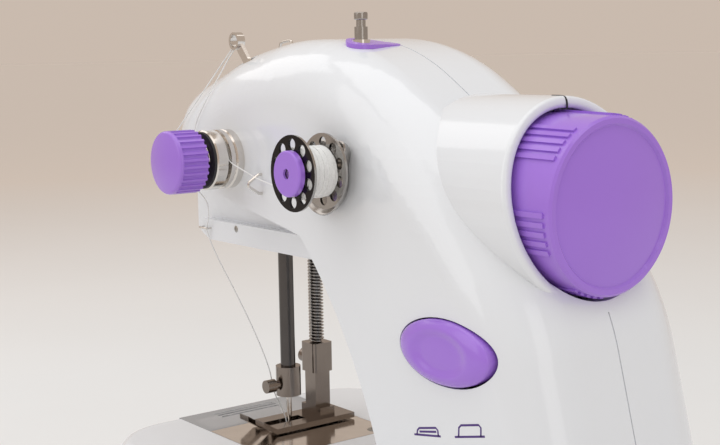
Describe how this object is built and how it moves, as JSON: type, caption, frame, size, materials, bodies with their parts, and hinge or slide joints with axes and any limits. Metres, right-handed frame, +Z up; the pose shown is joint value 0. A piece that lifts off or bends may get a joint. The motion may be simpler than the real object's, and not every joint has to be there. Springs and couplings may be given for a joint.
{
  "type": "portable sewing machine",
  "caption": "Small two-thread electric sewing machine with domed arm, ribbed handwheel, oval push button, front bobbin, tension knob, take-up lever and telescopic spool rod.",
  "frame": {"origin": "on the table, under the middle of the base", "axes": "+X to the handwheel side, +Y to the back, +Z up"},
  "size_m": [0.194, 0.1104, 0.1827],
  "materials": {
    "white_plastic": "gloss",
    "purple_plastic": "gloss",
    "clear_plastic": "gloss",
    "dark_plastic": "matte",
    "plated_steel": "polished",
    "black_chrome": "polished",
    "thread": "spun",
    "shaft_steel": "satin",
    "frame_metal": "satin",
    "bush_brass": "satin",
    "pulley_plastic": "matte",
    "belt_rubber": "matte",
    "foot_rubber": "matte"
  },
  "bodies": {
    "housing": {"front_shell": "white_plastic", "rear_shell": "white_plastic", "head_cover": "white_plastic", "base_shell": "white_plastic", "bottom_cover": "white_plastic", "needle_plate": "plated_steel", "mech_frame": "frame_metal", "timing_belt": "belt_rubber", "drive_belt": "belt_rubber", "motor": "shaft_steel", "needle_bar_bush": "bush_brass", "presser_bar_bush": "bush_brass", "presser_spring": "plated_steel", "tension_stud": "plated_steel", "tension_ring": "plated_steel", "tension_disc_rear": "plated_steel", "tension_disc_front": "plated_steel", "tension_washer": "dark_plastic", "tension_spring": "plated_steel", "bobbin_spindle": "plated_steel", "bobbin_drag_cup": "plated_steel", "thread_guide_front": "plated_steel", "thread_guide_rear": "plated_steel", "spool_rod_seat": "purple_plastic", "spool_rod_tube": "plated_steel", "switch_block": "dark_plastic", "dc_jack": "dark_plastic", "pedal_jack": "dark_plastic", "rubber_foot_1": "foot_rubber", "rubber_foot_2": "foot_rubber", "rubber_foot_3": "foot_rubber", "rubber_foot_4": "foot_rubber"},
    "wheel": {"hand_wheel": "purple_plastic", "main_shaft": "shaft_steel", "shaft_pulleys": "pulley_plastic", "needle_crank": "shaft_steel"},
    "motor_rotor": {"motor_pulley": "shaft_steel"},
    "hook_shaft": {"lower_shaft": "shaft_steel", "hook": "dark_plastic"},
    "needle_unit": {"needle_bar": "plated_steel", "needle_yoke": "shaft_steel", "needle_clamp": "plated_steel", "needle": "plated_steel"},
    "take_up": {"take_up_lever": "plated_steel"},
    "lifter": {"presser_lifter": "plated_steel"},
    "presser_unit": {"presser_bar": "plated_steel", "presser_clamp": "plated_steel", "presser_foot": "plated_steel"},
    "feed": {"feed_dog": "shaft_steel"},
    "button": {"power_button": "purple_plastic"},
    "tension_dial": {"tension_knob": "purple_plastic"},
    "bobbin_set": {"bobbin": "black_chrome", "winding_body": "thread", "bobbin_thread": "thread"},
    "bobbin_stop": {"bobbin_cap": "purple_plastic"},
    "rod_middle": {"spool_rod_mid": "plated_steel"},
    "rod_end": {"spool_rod_tip": "plated_steel"},
    "bed_slide": {"slide_cover": "clear_plastic"},
    "battery_door": {"battery_cover": "white_plastic"}
  },
  "joints": [
    {"name": "wheel_turn", "type": "hinge", "parent": "housing", "child": "wheel", "pos_m": [0.07, 0, 0.133], "axis": [1, 0, 0], "continuous": true},
    {"name": "motor_turn", "type": "hinge", "parent": "housing", "child": "motor_rotor", "pos_m": [0.047, 0, 0.078], "axis": [1, 0, 0], "continuous": true},
    {"name": "hook_turn", "type": "hinge", "parent": "housing", "child": "hook_shaft", "pos_m": [0, 0, 0.022], "axis": [1, 0, 0], "continuous": true},
    {"name": "needle_slide", "type": "slide", "parent": "housing", "child": "needle_unit", "axis": [0, 0, 1], "range_m": [0, 0.02]},
    {"name": "take_up_swing", "type": "hinge", "parent": "housing", "child": "take_up", "pos_m": [-0.054, -0.022, 0.142], "axis": [0, -1, 0], "range_deg": [0, 40]},
    {"name": "lifter_turn", "type": "hinge", "parent": "housing", "child": "lifter", "pos_m": [-0.046, 0.03, 0.119], "axis": [0, 1, 0], "range_deg": [0, 40]},
    {"name": "presser_lift", "type": "slide", "parent": "housing", "child": "presser_unit", "axis": [0, 0, 1], "range_m": [0, 0.0061], "deforming": ["presser_spring"]},
    {"name": "feed_slide", "type": "slide", "parent": "housing", "child": "feed", "axis": [0, 1, 0], "range_m": [-0.0015, 0.0015]},
    {"name": "button_press", "type": "slide", "parent": "housing", "child": "button", "axis": [0, 1, 0], "range_m": [0, 0.003], "stiffness_N_per_m": 500, "springref_m": -0.001},
    {"name": "tension_turn", "type": "hinge", "parent": "housing", "child": "tension_dial", "pos_m": [-0.044, -0.045, 0.14], "axis": [0, 1, 0], "range_deg": [-540, 540]},
    {"name": "bobbin_spin", "type": "hinge", "parent": "housing", "child": "bobbin_set", "pos_m": [0.012, -0.042, 0.14], "axis": [0, 1, 0], "continuous": true},
    {"name": "bobbin_stop_pull", "type": "slide", "parent": "housing", "child": "bobbin_stop", "axis": [0, -1, 0], "range_m": [0, 0.02]},
    {"name": "rod_middle_slide", "type": "slide", "parent": "housing", "child": "rod_middle", "axis": [0, 0, 1], "range_m": [0, 0.026]},
    {"name": "rod_end_slide", "type": "slide", "parent": "rod_middle", "child": "rod_end", "axis": [0, 0, 1], "range_m": [0, 0.026]},
    {"name": "bed_slide_open", "type": "slide", "parent": "housing", "child": "bed_slide", "axis": [-1, 0, 0], "range_m": [0, 0.02]},
    {"name": "battery_door_off", "type": "slide", "parent": "housing", "child": "battery_door", "axis": [0, 0, -1], "range_m": [0, 0.012]}
  ],
  "couplings": [
    {"joint": "motor_turn", "follows": "wheel_turn", "ratio": 3.25},
    {"joint": "hook_turn", "follows": "wheel_turn", "ratio": 1},
    {"joint": "presser_lift", "follows": "lifter_turn", "m_per_rad": 0.00859}
  ]
}
